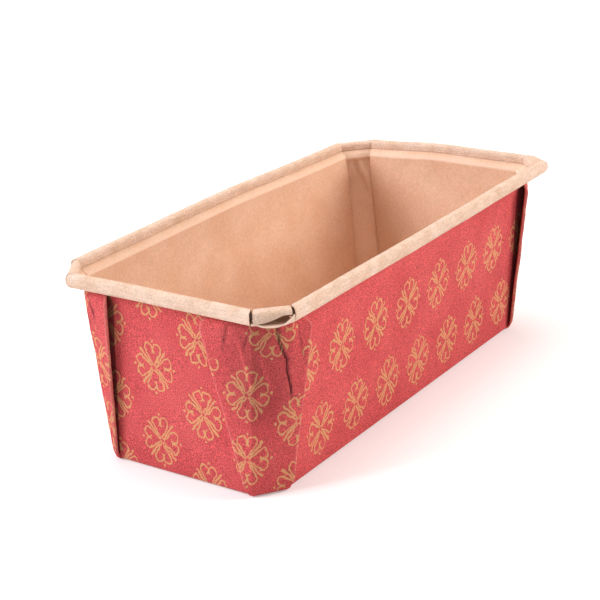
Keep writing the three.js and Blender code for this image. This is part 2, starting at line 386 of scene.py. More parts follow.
class SheetMesh:
    """Collects bent pieces of sheet, each a grid of points in millimetres."""

    def __init__(self):
        self.points = []
        self.faces = []
        self.uvs = []
        self.marks = []
        self.places = []

    def face(self, corners, uv, place):
        self.faces.append(corners)
        self.uvs.extend(uv)
        self.places.append(place)

    def add(self, rows, closed, print_of, inner_places, marks, edge_place=EDGE):
        """Adds a sheet whose middle passes through rows of points.

        print_of(row, column) gives the print coordinates of the corners of the face that
        starts there, and its place. marks holds the mark of each grid point, on its outer
        and its inner side: rubbed wear, painted highlights and painted shade.
        """
        count, width = len(rows), len(rows[0])
        start = len(self.points)
        for j, row in enumerate(rows):
            for i, point in enumerate(row):
                before = row[(i - 1) % width] if closed else row[max(i - 1, 0)]
                after = row[(i + 1) % width] if closed else row[min(i + 1, width - 1)]
                along = after - before
                up = rows[min(j + 1, count - 1)][i] - rows[max(j - 1, 0)][i]
                normal = along.cross(up).normalized() * (SHEET / 2)
                self.points.append(point + normal)
                self.points.append(point - normal)
                self.marks += marks[j][i]

        def index(j, i, side):
            return start + 2 * (j * width + i % width) + side

        steps = width if closed else width - 1
        for j in range(count - 1):
            for i in range(steps):
                prints, place = print_of(j, i)
                quad = [(j, i), (j, i + 1), (j + 1, i + 1), (j + 1, i)]
                self.face([index(*q, 0) for q in quad], prints, place)
                back = [index(*q, 1) for q in reversed(quad)]
                self.face(back, prints[::-1], inner_places[j])
        rim = []
        for i in range(steps):
            rim += [((0, i + 1), (0, i)), ((count - 1, i), (count - 1, i + 1))]
        if not closed:
            for j in range(count - 1):
                rim += [((j, 0), (j + 1, 0)), ((j + 1, steps), (j, steps))]
        for a, b in rim:
            corners = [index(*a, 0), index(*b, 0), index(*b, 1), index(*a, 1)]
            self.face(corners, [(0.0, 0.0)] * 4, edge_place)

    def build(self, name, materials):
        mesh = bpy.data.meshes.new(name)
        mesh.from_pydata([p * MM for p in self.points], [], self.faces)
        layer = mesh.uv_layers.new(name="print")
        layer.data.foreach_set("uv", [value for uv in self.uvs for value in uv])
        marking = mesh.attributes.new("mark", "FLOAT", "POINT")
        marking.data.foreach_set("value", self.marks)
        for material in materials:
            mesh.materials.append(material)
        mesh.polygons.foreach_set("material_index", self.places)
        mesh.polygons.foreach_set("use_smooth", [True] * len(self.faces))
        mesh.set_sharp_from_angle(angle=SHARP_FROM)
        mesh.update()
        return stand(name, mesh)


def plan_at(height, inset=0.0):
    """Half sizes of the body and the reach of its corner panel at a height."""
    up = clamp(height / CREASE_HEIGHT)
    shrink = inset * (2 - math.sqrt(2))
    return (
        lerp(BASE_LENGTH, CREASE_LENGTH, up) / 2 - inset,
        lerp(BASE_WIDTH, CREASE_WIDTH, up) / 2 - inset,
        lerp(BASE_CORNER[0], CREASE_CORNER[0], up) - shrink,
        lerp(BASE_CORNER[1], CREASE_CORNER[1], up) - shrink,
    )


def wall_side(edge, flap, mouth, spread, wall_steps, flap_steps):
    """One wall from its middle to the corner panel, through the folded flap.

    Each point is (along the wall, out from it).
    """
    radius = FOLD_RADIUS * spread
    tip = edge - flap
    points = [(tip * k / wall_steps, 0.0) for k in range(wall_steps)]
    points += [(lerp(tip, edge, t), 0.0) for t in UNDER_FLAP]
    turns = [math.pi * k / FOLD_TURNS for k in range(FOLD_TURNS + 1)]
    for turn in turns:
        points.append((edge + radius * math.sin(turn), radius * (1 - math.cos(turn))))
    for k in range(1, flap_steps):
        t = k / flap_steps
        points.append((lerp(edge, tip, t), 2 * radius + mouth * t**MOUTH_CURVE))
    for turn in turns:
        points.append(
            (tip - radius * math.sin(turn), 2 * radius + mouth + radius * (1 - math.cos(turn)))
        )
    outer_steps = OUTER_FINENESS * flap_steps
    for k in range(1, outer_steps + 1):
        t = 1 - math.sin(math.pi / 2 * k / outer_steps)
        points.append((lerp(edge, tip, t), 4 * radius + mouth * t**MOUTH_CURVE))
    return points


def quadrant(height, inset, spread, corner):
    """A quarter of the body at a height, from the end wall's middle to the long wall's.

    Each column is (x, y, how far it is turned from the end wall to the long wall).
    """
    half_x, half_y, corner_x, corner_y = plan_at(height, inset)
    edge_x, edge_y = half_x - corner_x, half_y - corner_y
    up = clamp(height / CREASE_HEIGHT)
    end_widths = WIDE_END_FLAP if corner == UNROLLED_CORNER else END_FLAP
    rise = max(0.0, height - (CREASE_HEIGHT - FLAP_ROUNDING))
    rounding = FLAP_ROUNDING - math.sqrt(max(FLAP_ROUNDING**2 - rise**2, 0.0))
    end_flap = max(lerp(*end_widths, up) - rounding, LEAST_FLAP)
    long_flap = max(lerp(*LONG_FLAP, up) - rounding, LEAST_FLAP)
    mouth = lerp(*MOUTH, up) * spread
    end_side = wall_side(edge_y, end_flap, mouth, spread, END_WALL_STEPS, END_FLAP_STEPS)
    long_side = wall_side(edge_x, long_flap, mouth, spread, LONG_WALL_STEPS, LONG_FLAP_STEPS)
    columns = []
    for along, out in end_side:
        columns.append((half_x + out, along, 0.0))
    panel_from = Vector((half_x + end_side[-1][1], edge_y))
    panel_to = Vector((edge_x, half_y + long_side[-1][1]))
    for k in range(1, PANEL_STEPS):
        t = 0.5 - 0.5 * math.cos(math.pi * k / PANEL_STEPS)
        point = panel_from.lerp(panel_to, t)
        columns.append((point.x, point.y, t))
    for along, out in reversed(long_side):
        columns.append((along, half_y + out, 1.0))
    return columns


def body_levels():
    """Levels of the body: (height, inset of the sheet's middle)."""
    levels = []
    middle_radius = BASE_FOLD_RADIUS - SHEET / 2
    for degrees in BASE_FOLD_DEGREES:
        angle = math.radians(degrees)
        height = BASE_FOLD_RADIUS - middle_radius * math.cos(angle) + BASE_FOLD_LIFT
        levels.append((height, BASE_FOLD_RADIUS - middle_radius * math.sin(angle)))
    height = BASE_FOLD_RADIUS
    while height < CREASE_HEIGHT - FLAP_ROUNDING - TOP_ROWS_BELOW:
        levels.append((height, SHEET / 2))
        height += ROW_STEP
    for k in range(TOP_ROWS + 1):
        levels.append((lerp(height, CREASE_HEIGHT, k / TOP_ROWS), SHEET / 2))
    return levels


def spread_at(height):
    """Share of their distance that the layers of a flap keep at a height."""
    low = smooth(height / BASE_TAPER)
    high = smooth((height - CREASE_HEIGHT + PANEL_TAPER) / PANEL_TAPER)
    return min(lerp(LEAST_SPREAD, 1.0, low), lerp(1.0, LEAST_SPREAD, high))


def faded(height, fade):
    """Share of the sheet's unevenness that is left at a height."""
    return smooth(height / fade[0]) * smooth((CREASE_HEIGHT - height) / fade[1])


def sag_at(x, y):
    """Drop of the mold's top at a place in plan, by its direction from the middle."""
    turn = math.atan2(y / CREASE_WIDTH, x / CREASE_LENGTH) / (math.pi / 4)
    low = math.floor(turn)
    return lerp(SAG[low % 8], SAG[(low + 1) % 8], smooth(turn - low))


def creases_at(corner, strip_u, height):
    """How far the sheet is pressed in at a place near a corner, and its painted shade and
    highlight there.
    """
    depth = mark = 0.0
    place = Vector((strip_u, height))
    for points, deep, half_width, tone in CREASES[corner]:
        nearest = math.inf
        for a, b in zip(points, points[1:]):
            start, run = Vector(a), Vector(b) - Vector(a)
            t = clamp((place - start).dot(run) / run.length_squared)
            nearest = min(nearest, (place - start - run * t).length)
        ends = min((place - Vector(points[0])).length, (place - Vector(points[-1])).length)
        share = lerp(CREASE_END_SHARE, 1.0, smooth(ends / CREASE_FADE))
        share *= math.exp(-((nearest / half_width) ** 2))
        depth += deep * share
        mark += tone * share
    return depth, mark


def crumple(point, corner_mask, height):
    """Distance that the sheet stands out of its plane, as pressed paper does."""
    broad = noise.noise(point / BULGE_LENGTH) * BULGE_DEPTH
    fine = noise.noise(point / DIMPLE_LENGTH + DIMPLE_SHIFT) * DIMPLE_DEPTH
    ridge = (0.5 - abs(noise.noise(point / RIDGE_LENGTH + RIDGE_SHIFT))) * RIDGE_DEPTH
    even = faded(height, BULGE_FADE) * (broad + fine)
    return even + corner_mask * faded(height, RIDGE_FADE) * ridge


def tip_column(wall_steps, flap_steps):
    """Column of the folded tip of a flap, counted from the middle of its wall."""
    return wall_steps + len(UNDER_FLAP) + FOLD_TURNS + flap_steps + HALF_TURN


def body_quarter(height, inset, corner):
    """A quarter of a level of the body: (point, wall u, strip u, place, mark) by column."""
    sign_x, sign_y = corner
    columns = quadrant(height, inset, spread_at(height), corner)
    last = len(columns) - 1
    lengths = [0.0]
    for a, b in zip(columns, columns[1:]):
        lengths.append(lengths[-1] + math.hypot(b[0] - a[0], b[1] - a[1]))
    end_tip = tip_column(END_WALL_STEPS, END_FLAP_STEPS)
    long_tip = last - tip_column(LONG_WALL_STEPS, LONG_FLAP_STEPS)
    panel = [k for k, column in enumerate(columns) if 0 < column[2] < 1]
    middle = lengths[panel[len(panel) // 2]]
    made = []
    for i, (x, y, turn) in enumerate(columns):
        on_end = i <= last // 2
        place = END_PRINT if i < end_tip else LONG_PRINT if i >= long_tip else CORNER_PRINT
        wall_u = lengths[i] * sign_y if on_end else (lengths[-1] - lengths[i]) * sign_x
        strip_u = lengths[i] - middle
        past_tip = min(i - END_WALL_STEPS, last - i - LONG_WALL_STEPS)
        past_fold = past_tip - len(UNDER_FLAP)
        layered = clamp((past_fold - HALF_TURN) / LAYER_BLEND)
        outer = clamp((past_fold - OUTER_LAYER) / LAYER_BLEND)
        depth = mark = 0.0
        if end_tip <= i < long_tip:
            depth, mark = creases_at(corner, strip_u, height)
            if not 0 < turn < 1:
                depth = min(depth, FLAP_SLACK)
        from_tip = min(abs(lengths[i] - lengths[end_tip]), abs(lengths[i] - lengths[long_tip]))
        # Inside a flap's mouth, the outer side of the wall and the middle layer gets painted shade
        in_mouth = past_tip > 0 and (i < end_tip - HALF_TURN or i > long_tip + HALF_TURN)
        # A painted highlight, with rubbed wear, along the flaps' folded tips
        pale_share = clamp(1 - from_tip / FOLD_HIGHLIGHT_AND_WEAR_REACH) * smooth(height / FOLD_HIGHLIGHT_AND_WEAR_HEIGHT)
        mark += FOLD_HIGHLIGHT_AND_WEAR * pale_share
        mark += BASE_WEAR * clamp(1 - height / BASE_FOLD_RADIUS)
        out = Vector((1 - turn, turn, 0)).normalized()
        out = Vector((out.x * sign_x, out.y * sign_y, 0))
        point = Vector((x * sign_x, y * sign_y, height))
        point += out * (crumple(point, outer, height) - depth)
        lift = smooth((height - CREASE_HEIGHT + FLAP_LIFT_HEIGHT) / FLAP_LIFT_HEIGHT)
        point.z += FLAP_ABOVE_CREASE * layered * lift
        point.z -= sag_at(point.x, point.y) * height / CREASE_HEIGHT
        made.append((point, wall_u, strip_u, place, (MOUTH_PAINTED_SHADE if in_mouth else mark, mark)))
    if sign_x * sign_y < 0:
        made.reverse()
        following = [item[3] for item in made[1:]] + [made[-1][3]]
        made = [(*item[:3], place, item[4]) for item, place in zip(made, following)]
    return made[:-1]


def strip_print(corners):
    """Print coordinates of a face of the corner strip, whose flowers stand in no one lattice."""
    u, height = corners[0]
    if height > TOP_FLOWER_FROM and u > TOP_FLOWER[0] - FLOWER_REACH:
        shift = Vector(CORNER_START) - Vector(TOP_FLOWER)
        return [(a + shift.x, b + shift.y) for a, b in corners]
    if height > (BARE_FROM if u > 0 else TOP_FLOWER_FROM):
        return [BARE_SPOT] * 4
    return corners


def build_body(sheet):
    """The walls, corner panels and flaps, from the fold of the base up to the crease."""
    levels = []
    for height, inset in body_levels():
        levels.append([item for corner in CORNERS for item in body_quarter(height, inset, corner)])
    width = len(levels[0])

    def print_of(j, i):
        after = (i + 1) % width
        corners = [levels[j][i], levels[j][after], levels[j + 1][after], levels[j + 1][i]]
        place = corners[0][3]
        if place == CORNER_PRINT:
            return strip_print([(item[2], item[0].z) for item in corners]), place
        if place == LONG_PRINT and levels[j][i][0].z > LONG_BARE_FROM:
            return [LONG_BARE_SPOT] * 4, place
        return [(item[1], item[0].z) for item in corners], place

    rows = [[item[0] for item in level] for level in levels]
    marks = [[item[4] for item in level] for level in levels]
    sheet.add(rows, True, print_of, [INSIDE] * len(rows), marks)


def cut_corner(signs, half_x, half_y, corner_x, corner_y):
    """Both ends in plan of the flat side across a corner, anticlockwise."""
    on_end = Vector((signs[0] * half_x, signs[1] * (half_y - corner_y)))
    on_long = Vector((signs[0] * (half_x - corner_x), signs[1] * half_y))
    return (on_end, on_long) if signs[0] * signs[1] > 0 else (on_long, on_end)


def build_base(sheet):
    """The flat base, a sheet that meets the fold of the walls."""
    plan = plan_at(0.0, BASE_FOLD_RADIUS - BASE_LAP)
    outline = [point for signs in CORNERS for point in cut_corner(signs, *plan)]
    start = len(sheet.points)
    for z in (BASE_GAP, SHEET - BASE_GAP):
        sheet.points += [Vector((x, y, z)) for x, y in outline]
        sheet.marks += [0.0] * len(outline)
    count = len(outline)
    low = [start + k for k in reversed(range(count))]
    high = [start + count + k for k in range(count)]
    sheet.face(low, [outline[k] for k in reversed(range(count))], LONG_PRINT)
    sheet.face(high, outline, INSIDE)
    for k in range(count):
        after = (k + 1) % count
        corners = [start + k, start + after, start + count + after, start + count + k]
        sheet.face(corners, [(0.0, 0.0)] * 4, EDGE)


def flattened(value):
    """A sine or cosine bent, so that the bead's round is a little square."""
    return math.copysign(abs(value) ** BEAD_SQUARENESS, value)


def bead_point(degrees):
    """Middle of the sheet in the bead: (out from the crease, height)."""
    half = SHEET / 2
    half_height = BEAD_HEIGHT / 2 - half - BEAD_MARGIN
    half_width = (RIM_OVERHANG - BEAD_INNER) / 2 - half
    angle = math.radians(degrees)
    out = RIM_OVERHANG - half - BEAD_MARGIN - half_width
    up = RIM_HEIGHT - BEAD_HEIGHT / 2
    return (
        out + half_width * flattened(math.cos(angle)),
        up + half_height * flattened(math.sin(angle)),
    )


def rim_path(start=BEAD_START, end=BEAD_END, foot=True, tail=True):
    """Middle of the sheet across the rim, between two angles of the bead's round."""
    path = [(out, CREASE_HEIGHT + up) for out, up in RIM_FOOT] if foot else []
    steps = round(BEAD_STEPS * abs(end - start) / abs(BEAD_END - BEAD_START))
    steps = max(LEAST_BEAD_STEPS, steps)
    path += [bead_point(lerp(start, end, k / steps)) for k in range(steps + 1)]
    if tail:
        out, up = path[-1]
        path.append((out + BEAD_TAIL, up + BEAD_TAIL))
    return path


def rim_corner(outset, k):
    """The k-th of the eight corners of the rim's plan at a distance outside the crease."""
    signs = CORNERS[(k // 2) % 4]
    halves = (CREASE_LENGTH / 2 + outset, CREASE_WIDTH / 2 + outset)
    share = outset / RIM_OVERHANG
    reach = [lerp(a, b, share) for a, b in zip(CREASE_CORNER, RIM_CORNERS[signs])]
    return cut_corner(signs, *halves, *reach)[k % 2]


def rim_wave(point):
    """Small sag and drift of the bead from its even height and line."""
    sag = RIM_DROP * (1 + noise.noise(point / RIM_DROP_LENGTH))
    ripple = RIM_RIPPLE * noise.noise(point / RIM_RIPPLE_LENGTH)
    drift = RIM_DRIFT * (1 + noise.noise(point / RIM_DRIFT_LENGTH + RIM_DRIFT_SHIFT))
    return -sag - ripple, -drift


def rim_station(outset, k, t, low_share=0.0):
    """Place in plan on the k-th stretch of rim, at a share t of the way between its slits."""
    start, stop = rim_corner(outset, k), rim_corner(outset, k + 1)
    span = (stop - start).length
    here, following = SLITS[k], SLITS[(k + 1) % 8]
    cut_from = lerp(here[1], here[2], low_share)
    cut_to = lerp(following[0], following[2], low_share)
    return start.lerp(stop, lerp(cut_from / span, 1 - cut_to / span, t))


def settled(point, way):
    """A point of the rim moved as the real rim sags and waves; way runs along the rim."""
    rolled = smooth(point.z - CREASE_HEIGHT)
    up, out = rim_wave(Vector((point.x, point.y, 0)))
    drop = sag_at(point.x, point.y) * min(1.0, point.z / CREASE_HEIGHT)
    return point + Vector((way.y * out, -way.x * out, up)) * rolled - Vector((0, 0, drop))


def rim_crease_highlight_and_wear(height):
    """Painted highlight, with rubbed wear, of the rim's sheet along the crease."""
    return RIM_CREASE_HIGHLIGHT_AND_WEAR * clamp(1 - abs(height - CREASE_HEIGHT) / RIM_CREASE_REACH)


def stations_of(k):
    """Number of steps along the k-th stretch of rim."""
    length = (rim_corner(RIM_OVERHANG, k + 1) - rim_corner(RIM_OVERHANG, k)).length
    return max(LEAST_STATIONS, round(length / RIM_STATION))


def rim_sheet(sheet, k, path):
    """One straight stretch of rim, whose section path(t) changes along it."""
    stations = stations_of(k)
    way = (rim_corner(RIM_OVERHANG, k + 1) - rim_corner(RIM_OVERHANG, k)).normalized()
    grid = []
    for index in range(len(path(0.5))):
        row = []
        for step in range(stations + 1):
            t = step / stations
            outset, height = path(t)[index]
            flat = rim_station(outset, k, t, index <= len(RIM_FOOT))
            row.append(settled(Vector((flat.x, flat.y, height)), way))
        grid.append(row)

    def print_of(j, i):
        corners = [(j, i), (j, i + 1), (j + 1, i + 1), (j + 1, i)]
        return [(grid[m][n].x + grid[m][n].y, path(0.5)[m][1]) for m, n in corners], EDGE

    places = [INSIDE if is_lining(*spot) else RIM for spot in path(0.5)]
    marks = [[(rim_crease_highlight_and_wear(up), rim_crease_highlight_and_wear(up))] * (stations + 1) for out, up in path(0.5)]
    # Painted shade on the outer side of the flare's rows beside each slit
    for at in (0, -1):
        for row in marks[SLIT_FROM : len(RIM_FOOT)]:
            row[at] = (SLIT_PAINTED_SHADE, 0.0)
    sheet.add(grid, False, print_of, places, marks, RIM)


def is_lining(out, up):
    """Whether a place on the section belongs to the flare, which lines the mouth."""
    return out < LINING_OUT and up < LINING_UP


def section_outline(path):
    """Outline of the sheet round its middle path: (out, up, whether it lines the mouth)."""
    sides = ([], [])
    for n, (out, up) in enumerate(path):
        before, after = path[max(n - 1, 0)], path[min(n + 1, len(path) - 1)]
        along = (Vector(after) - Vector(before)).normalized() * (SHEET / 2)
        sides[0].append((out + along.y, up - along.x, False))
        sides[1].append((out - along.y, up + along.x, is_lining(out, up)))
    return sides[0] + sides[1][::-1]


def rim_guide(stretches):
    """Mesh of the rim's section and of the lines it runs along, as the rim's tree reads it."""
    outline = section_outline(rim_path())
    count = len(outline)
    points = [(out * MM, 0.0, up * MM) for out, up, _ in outline]
    edges = [(n, (n + 1) % count) for n in range(count)]
    inner, outer = [(0.0, 0.0, 0.0)] * count, [(0.0, 0.0, 0.0)] * count
    for k in stretches:
        stations = stations_of(k)
        for step in range(stations + 1):
            t = step / stations
            a, b = rim_station(0.0, k, t, 1.0), rim_station(RIM_OVERHANG, k, t)
            if step:
                edges.append((len(points) - 1, len(points)))
            points.append((b.x * MM, b.y * MM, 0.0))
            inner.append((a.x * MM, a.y * MM, 0.0))
            outer.append((b.x * MM, b.y * MM, 0.0))
    rest = len(points) - count
    mesh = bpy.data.meshes.new("rim_guide")
    mesh.from_pydata(points, edges, [])
    for name, values in (("inner", inner), ("outer", outer)):
        layer = mesh.attributes.new(name, "FLOAT_VECTOR", "POINT")
        layer.data.foreach_set("vector", [part for value in values for part in value])
    lining = [float(item[2]) for item in outline]
    for name, values in (("lining", lining), ("section", [1.0] * count)):
        layer = mesh.attributes.new(name, "FLOAT", "POINT")
        layer.data.foreach_set("value", values + [0.0] * rest)
    return mesh


def rim_tree():
    """Geometry nodes that sweep the rim's section along its stretches.

    The section stands upright on the line from the inner to the outer end of each
    station, so that the stretches meet in mitres at the corners.
    """
    tree = bpy.data.node_groups.new("rolled_rim", "GeometryNodeTree")
    face = tree.interface
    face.new_socket("Geometry", in_out="INPUT", socket_type="NodeSocketGeometry")
    for name in ("Overhang", "Crease height", "Crease highlight and wear", "Crease reach"):
        face.new_socket(name, in_out="INPUT", socket_type="NodeSocketFloat")
    for name in ("Rim paper", "Lining paper"):
        face.new_socket(name, in_out="INPUT", socket_type="NodeSocketMaterial")
    face.new_socket("Geometry", in_out="OUTPUT", socket_type="NodeSocketGeometry")
    given = add(tree, "NodeGroupInput").outputs
    store, paper = "GeometryNodeStoreNamedAttribute", "GeometryNodeSetMaterial"

    # What the guide's points carry
    carried = {}
    for name in ("section", "lining", "inner", "outer"):
        kind = "FLOAT_VECTOR" if name in ("inner", "outer") else "FLOAT"
        carried[name] = add(
            tree, "GeometryNodeInputNamedAttribute", {"Name": name}, data_type=kind
        )

    def keep(geometry, *items):
        """Captures fields on a curve, so that they reach the mesh swept from it."""
        node = add(tree, "GeometryNodeCaptureAttribute", [geometry])
        for n, (kind, field) in enumerate(items):
            node.capture_items.new(kind, "kept_%d" % n)
            tree.links.new(out_of(field), node.inputs[n + 1])
        return node.outputs

    parts = add(
        tree, "GeometryNodeSeparateGeometry", [given["Geometry"], carried["section"]]
    ).outputs
    place = add(tree, "GeometryNodeInputPosition")
    outline = add(tree, "GeometryNodeMeshToCurve", [parts[0]])
    section = keep(outline, ("VECTOR", place), ("FLOAT", carried["lining"]))
    line = add(tree, "GeometryNodeMeshToCurve", [parts[1]])
    run = add(tree, "GeometryNodeSplineParameter").outputs["Length"]
    ends = (("VECTOR", carried["inner"]), ("VECTOR", carried["outer"]))
    stretch = keep(line, *ends, ("FLOAT", run))
    swept = add(
        tree,
        "GeometryNodeCurveToMesh",
        {"Curve": stretch[0], "Profile Curve": section[0], "Fill Caps": True},
    )

    # Each point goes from the inner to the outer end of its station, and up by its height
    spot = add(tree, "ShaderNodeSeparateXYZ", [section[1]]).outputs
    share = add(tree, MATHS, [spot[0], given["Overhang"]], operation="DIVIDE")
    across = add(tree, VECTORS, [stretch[2], stretch[1]], operation="SUBTRACT")
    out = add(tree, VECTORS, {0: across, "Scale": share}, operation="SCALE")
    flat = add(tree, VECTORS, [stretch[1], out], operation="ADD")
    up = add(tree, "ShaderNodeCombineXYZ", {2: spot[2]})
    point = add(tree, VECTORS, [flat, up], operation="ADD")
    outward = add(tree, "GeometryNodeFlipFaces", [swept])
    placed = add(tree, "GeometryNodeSetPosition", {"Geometry": outward, "Position": point})

    # Painted highlight with rubbed wear along the crease, and print coordinates in millimetres
    above = add(tree, MATHS, [spot[2], given["Crease height"]], operation="SUBTRACT")
    off = add(tree, MATHS, [above], operation="ABSOLUTE")
    marking = add(tree, SPAN, ranged(off, 0.0, given["Crease reach"], given["Crease highlight and wear"], 0.0))
    on_points = {"Geometry": placed, "Name": "mark", "Value": marking}
    marked = add(tree, store, on_points, data_type="FLOAT", domain="POINT")
    along = add(tree, "ShaderNodeCombineXYZ", [stretch[3], spot[2]])
    in_mm = add(tree, VECTORS, {0: along, "Scale": 1 / MM}, operation="SCALE")
    on_corners = {"Geometry": marked, "Name": "print", "Value": in_mm}
    printed_at = add(tree, store, on_corners, data_type="FLOAT2", domain="CORNER")

    whole = add(tree, "GeometryNodeRealizeInstances", [printed_at])
    papered = add(tree, paper, {"Geometry": whole, "Material": given["Rim paper"]})
    lining = add(tree, MATHS, [section[2], LINED], operation="GREATER_THAN")
    lined = add(
        tree,
        paper,
        {"Geometry": papered, "Selection": lining, "Material": given["Lining paper"]},
    )
    add(tree, "NodeGroupOutput", [lined])
    return tree


def build_rim(papers):
    """The rolled rim, but for the corner where it has come unrolled."""
    stretches = [k for k in range(8) if k != UNROLLED_STRETCH]
    guide = stand("rolled_rim", rim_guide(stretches))
    tree = rim_tree()
    roller = guide.modifiers.new("rolled_rim", "NODES")
    roller.node_group = tree
    sizes = {
        "Overhang": RIM_OVERHANG * MM,
        "Crease height": CREASE_HEIGHT * MM,
        "Crease highlight and wear": RIM_CREASE_HIGHLIGHT_AND_WEAR,
        "Crease reach": RIM_CREASE_REACH * MM,
        "Rim paper": papers[RIM],
        "Lining paper": papers[INSIDE],
    }
    for socket in tree.interface.items_tree:
        if socket.name in sizes:
            roller[socket.identifier] = sizes[socket.name]
    bpy.context.view_layer.update()
    ready = guide.evaluated_get(bpy.context.evaluated_depsgraph_get())
    mesh = bpy.data.meshes.new_from_object(ready)
    guide.modifiers.clear()
    guide.data = mesh
    cut_ends(mesh)
    for vertex in mesh.vertices:
        point = vertex.co / MM
        vertex.co = settled(point, way_round(point)) * MM
    mesh.polygons.foreach_set("use_smooth", [True] * len(mesh.polygons))
    mesh.set_sharp_from_angle(angle=SHARP_FROM)
    mesh.update()
    return guide


def cut_ends(mesh):
    """Closes the swept rim's ends across the sheet only, so that its roll stays hollow."""
    work = bmesh.new()
    work.from_mesh(mesh)
    for cap in [face for face in work.faces if len(face.verts) > 4]:
        ring = list(cap.verts)
        foot = min(range(len(ring)), key=lambda n: ring[n].co.z + ring[n - 1].co.z)
        ring = ring[foot:] + ring[:foot]
        for n in range(len(ring) // 2 - 1):
            end = work.faces.new((ring[n], ring[n + 1], ring[-2 - n], ring[-1 - n]))
            end.material_index = cap.material_index
        work.faces.remove(cap)
    work.to_mesh(mesh)
    work.free()


def way_round(point):
    """Direction of the nearest stretch of rim, anticlockwise."""
    flat = Vector((point.x, point.y))
    best, way = math.inf, None
    for k in range(8):
        start, stop = rim_corner(RIM_OVERHANG, k), rim_corner(RIM_OVERHANG, k + 1)
        run = (stop - start).normalized()
        off = abs((flat - start).dot(Vector((run.y, -run.x))))
        if off < best:
            best, way = off, run
    return way


def evenly(path_of):
    """The same path in the same number of points all along a stretch of rim."""
    count = len(path_of(0.5))

    def path(t):
        points = path_of(t)
        last = len(points) - 1
        picked = []
        for n in range(count):
            at = n * last / (count - 1)
            low = min(int(at), last - 1)
            a, b = points[low], points[low + 1]
            picked.append((lerp(a[0], b[0], at - low), lerp(a[1], b[1], at - low)))
        return picked

    return path


def unrolled_rim(sheet, k):
    """The corner stretch whose bead has opened: an upper curl and a lower lip."""

    def parting(t):
        return lerp(*PARTING_DEGREES, smooth((t - PARTING_START) / PARTING_RUN))

    def upper(t):
        return rim_path(end=parting(t), tail=False)

    def lower(t):
        path = rim_path(start=parting(t), foot=False)
        opened = math.sqrt(max(0.0, 1 - ((t - OPENING_MIDDLE) / OPENING_REACH) ** 2))
        bent = []
        for n, (out, up) in enumerate(path):
            loose = opened * (1 - n / (len(path) - 1)) ** LIP_CURVE
            hanging = lerp(up, RIM_HEIGHT - BEAD_HEIGHT - LIP_DROP, loose)
            bent.append((out + LIP_BULGE * loose, hanging))
        return bent

    rim_sheet(sheet, k, evenly(upper))
    rim_sheet(sheet, k, evenly(lower))


def linear(code):
    """Linear colour of an sRGB hex code."""
    channels = [int(code[k : k + 2], 16) / 255 for k in (0, 2, 4)]
    bent = [c / 12.92 if c <= 0.04045 else ((c + 0.055) / 1.055) ** 2.4 for c in channels]
    return (*bent, 1.0)


def out_of(value):
    """The first output of a node. Anything else stays as it is."""
    return value.outputs[0] if isinstance(value, bpy.types.Node) else value


def add(tree, kind, inputs=(), **settings):
    """Adds a node. Its inputs, by order or by name, are values, sockets or other nodes."""
    made = tree.nodes.new(kind)
    for name, value in settings.items():
        setattr(made, name, value)
    pairs = inputs.items() if isinstance(inputs, dict) else enumerate(inputs)
    for key, value in pairs:
        value = out_of(value)
        if isinstance(value, bpy.types.NodeSocket):
            tree.links.new(value, made.inputs[key])
        else:
            made.inputs[key].default_value = value
    return made


def ranged(value, start, stop, low=0.0, high=1.0):
    """Inputs that map a value between start and stop to one between low and high."""
    return {"Value": value, "From Min": start, "From Max": stop, "To Min": low, "To Max": high}


